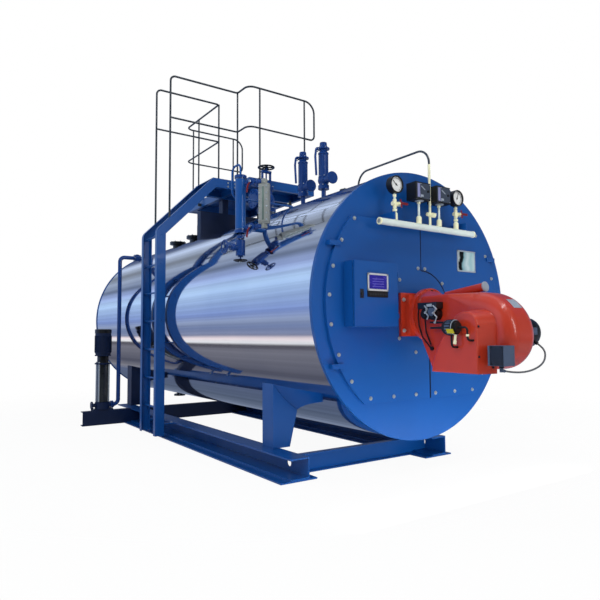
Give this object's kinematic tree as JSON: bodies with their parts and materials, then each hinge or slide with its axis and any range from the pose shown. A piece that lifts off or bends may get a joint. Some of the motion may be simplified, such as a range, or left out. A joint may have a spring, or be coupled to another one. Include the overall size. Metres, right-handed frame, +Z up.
{
  "type": "industrial boiler",
  "caption": "Horizontal shell steam boiler on a channel skid, with burner, hinged control cabinet, water column, top valves, feed pump, access ladder and railed platform.",
  "frame": {"origin": "on the floor, at the middle of the underside of the front cross member", "axes": "+Z up, +Y along the shell from the burner end to the flue end, +X to the right seen from the burner end"},
  "size_m": [2.585, 6.675, 4.014],
  "materials": {
    "blue_paint": "gloss blue enamel",
    "valve_blue": "dark blue enamel on castings",
    "motor_blue": "semi gloss blue",
    "mirror_cladding": "mirror-polished stainless sheet",
    "bare_steel": "brushed stainless steel",
    "cast_grey": "painted casting",
    "burner_orange": "orange-red paint on cast aluminium",
    "black_paint": "semi gloss black",
    "black_plastic": "matt moulded plastic",
    "screen_glass": "glossy screen",
    "brass": "bare brass",
    "cable_grey": "grey sheathed cable",
    "rail_grey": "grey painted tube",
    "galvanised": "zinc plated sheet"
  },
  "bodies": {
    "boiler": {"skid_beam_left": "blue_paint", "skid_beam_right": "blue_paint", "cross_member_front": "blue_paint", "cross_member_rear": "blue_paint", "saddle_front": "blue_paint", "saddle_rear": "blue_paint", "shell_cladding": "mirror_cladding", "front_plate": "blue_paint", "rear_plate": "blue_paint", "rear_cover": "blue_paint", "flue_outlet": "blue_paint", "smoke_door_left": "blue_paint", "smoke_door_right": "blue_paint", "door_lugs": "blue_paint", "nameplate": "bare_steel", "cabinet_box": "blue_paint", "cabinet_hinges": "blue_paint", "cabinet_gear": "galvanised", "burner_flange": "burner_orange", "burner_head": "burner_orange", "burner_casing": "burner_orange", "burner_intake": "burner_orange", "burner_top_tube": "burner_orange", "burner_motor": "black_paint", "burner_terminal_box": "black_plastic", "burner_air_switch": "black_plastic", "burner_servo": "black_plastic", "burner_cable": "cable_grey", "gauge_manifold": "brass", "pressure_gauges": "black_plastic", "pressure_switches": "black_plastic", "gauge_valves": "brass", "siphon_pipe": "bare_steel", "water_column": "blue_paint", "level_gauge": "cast_grey", "gauge_cocks": "blue_paint", "column_drain": "valve_blue", "steam_valve": "valve_blue", "safety_valve_front": "valve_blue", "safety_valve_rear": "valve_blue", "shell_nozzles": "black_paint", "ladder_rail_front": "blue_paint", "ladder_rail_rear": "blue_paint", "ladder_rungs": "blue_paint", "platform_frame": "blue_paint", "platform_deck": "blue_paint", "platform_supports": "blue_paint", "handrail_front": "rail_grey", "handrail_rear": "rail_grey", "feed_pump": "valve_blue", "feed_pump_motor": "motor_blue", "feed_pipe": "valve_blue"},
    "cabinet_door": {"cabinet_door": "blue_paint", "cabinet_screen": "screen_glass", "cabinet_lock": "black_plastic"},
    "steam_wheel": {"steam_valve_wheel": "black_paint"},
    "side_wheel": {"drain_wheel_side": "black_paint"},
    "low_wheel": {"drain_wheel_low": "black_paint"}
  },
  "joints": [
    {"name": "cabinet_door_hinge", "type": "hinge", "parent": "boiler", "child": "cabinet_door", "pos_m": [-0.358, -0.788, 1.39], "axis": [0, 0, 1], "range_deg": [0, 90]},
    {"name": "steam_wheel_spin", "type": "hinge", "parent": "boiler", "child": "steam_wheel", "pos_m": [0, 1.667, 3], "axis": [0, 0, 1], "continuous": true},
    {"name": "side_wheel_spin", "type": "hinge", "parent": "boiler", "child": "side_wheel", "pos_m": [-1.18, 0.387, 1.838], "axis": [-1, 0, 0], "continuous": true},
    {"name": "low_wheel_spin", "type": "hinge", "parent": "boiler", "child": "low_wheel", "pos_m": [-1.03, 0.387, 1.733], "axis": [0, 0, -1], "continuous": true}
  ]
}
